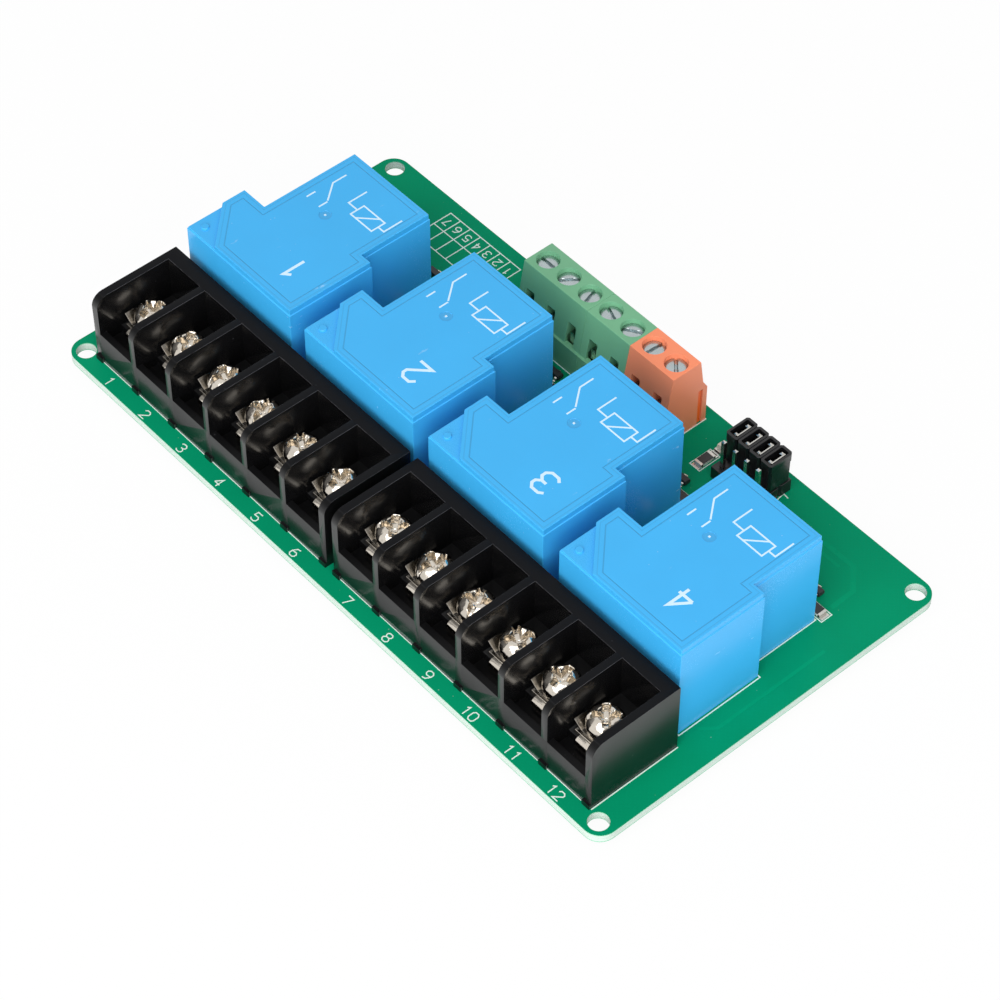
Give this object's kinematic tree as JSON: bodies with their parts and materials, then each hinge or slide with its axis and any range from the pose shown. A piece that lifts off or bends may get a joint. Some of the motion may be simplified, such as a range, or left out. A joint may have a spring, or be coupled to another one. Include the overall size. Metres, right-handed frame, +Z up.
{
  "type": "relay module board",
  "caption": "Circuit board with a row of sealed power relays, barrier terminal blocks, small screw terminals and a jumper header.",
  "frame": {"origin": "middle of the four mounting holes, on the underside of the board", "axes": "+X along the board, +Y from the barrier blocks to the small screw terminals, +Z up to the parts"},
  "size_m": [0.129, 0.07, 0.0231],
  "materials": {
    "board": "glass-epoxy laminate with green solder resist",
    "black_moulding": "black glass-filled moulding",
    "relay_cover": "blue moulding, satin",
    "relay_base": "dark moulding",
    "bobbin_plastic": "natural moulding",
    "soft_iron": "plated soft iron",
    "magnet_wire": "enamelled copper wire",
    "contact_metal": "copper alloy",
    "plated_steel": "nickel-plated steel",
    "plated_contact": "tinned brass",
    "tinned_brass": "tinned brass",
    "terminal_green": "green moulding, satin",
    "terminal_orange": "orange moulding, satin",
    "jumper_plastic": "moulded cap",
    "chip_package": "black epoxy package",
    "led_body": "clear lens on a pale body",
    "chip_ceramic": "glazed chip"
  },
  "bodies": {
    "board": {"circuit_board": "board", "barrier_1_housing": "black_moulding", "barrier_2_housing": "black_moulding", "load_contacts": "plated_contact", "clamp_washers": "plated_steel", "load_screws": "plated_steel", "screw_terminal_1_housing": "terminal_green", "screw_terminal_2_housing": "terminal_green", "screw_terminal_3_housing": "terminal_orange", "terminal_cages": "plated_steel", "terminal_screws": "plated_steel", "terminal_pins": "tinned_brass", "header_insulator": "black_moulding", "header_pins": "tinned_brass", "jumper_clips": "contact_metal", "optocouplers": "chip_package", "transistors": "chip_package", "flyback_diodes": "chip_package", "status_leds": "led_body", "chip_resistors": "chip_ceramic", "jumper_cap_1": "jumper_plastic", "relay_1_cover": "relay_cover", "relay_1_base": "relay_base", "relay_1_yoke": "soft_iron", "relay_1_core": "soft_iron", "relay_1_bobbin": "bobbin_plastic", "relay_1_winding": "magnet_wire", "relay_1_terminals": "contact_metal", "jumper_cap_2": "jumper_plastic", "relay_2_cover": "relay_cover", "relay_2_base": "relay_base", "relay_2_yoke": "soft_iron", "relay_2_core": "soft_iron", "relay_2_bobbin": "bobbin_plastic", "relay_2_winding": "magnet_wire", "relay_2_terminals": "contact_metal", "jumper_cap_3": "jumper_plastic", "relay_3_cover": "relay_cover", "relay_3_base": "relay_base", "relay_3_yoke": "soft_iron", "relay_3_core": "soft_iron", "relay_3_bobbin": "bobbin_plastic", "relay_3_winding": "magnet_wire", "relay_3_terminals": "contact_metal", "jumper_cap_4": "jumper_plastic", "relay_4_cover": "relay_cover", "relay_4_base": "relay_base", "relay_4_yoke": "soft_iron", "relay_4_core": "soft_iron", "relay_4_bobbin": "bobbin_plastic", "relay_4_winding": "magnet_wire", "relay_4_terminals": "contact_metal"},
    "relay_1_armature_group": {"relay_1_armature": "soft_iron", "relay_1_contact_blade": "contact_metal"},
    "relay_2_armature_group": {"relay_2_armature": "soft_iron", "relay_2_contact_blade": "contact_metal"},
    "relay_3_armature_group": {"relay_3_armature": "soft_iron", "relay_3_contact_blade": "contact_metal"},
    "relay_4_armature_group": {"relay_4_armature": "soft_iron", "relay_4_contact_blade": "contact_metal"}
  },
  "joints": [
    {"name": "relay_1_armature_hinge", "type": "hinge", "parent": "board", "child": "relay_1_armature_group", "pos_m": [-0.04462, 0.0151, 0.01652], "axis": [1, 0, 0], "range_deg": [0, 3.2], "stiffness_Nm_per_rad": 0.02, "springref_deg": -20.05},
    {"name": "relay_2_armature_hinge", "type": "hinge", "parent": "board", "child": "relay_2_armature_group", "pos_m": [-0.01487, 0.0151, 0.01652], "axis": [1, 0, 0], "range_deg": [0, 3.2], "stiffness_Nm_per_rad": 0.02, "springref_deg": -20.05},
    {"name": "relay_3_armature_hinge", "type": "hinge", "parent": "board", "child": "relay_3_armature_group", "pos_m": [0.01487, 0.0151, 0.01652], "axis": [1, 0, 0], "range_deg": [0, 3.2], "stiffness_Nm_per_rad": 0.02, "springref_deg": -20.05},
    {"name": "relay_4_armature_hinge", "type": "hinge", "parent": "board", "child": "relay_4_armature_group", "pos_m": [0.04462, 0.0151, 0.01652], "axis": [1, 0, 0], "range_deg": [0, 3.2], "stiffness_Nm_per_rad": 0.02, "springref_deg": -20.05}
  ]
}
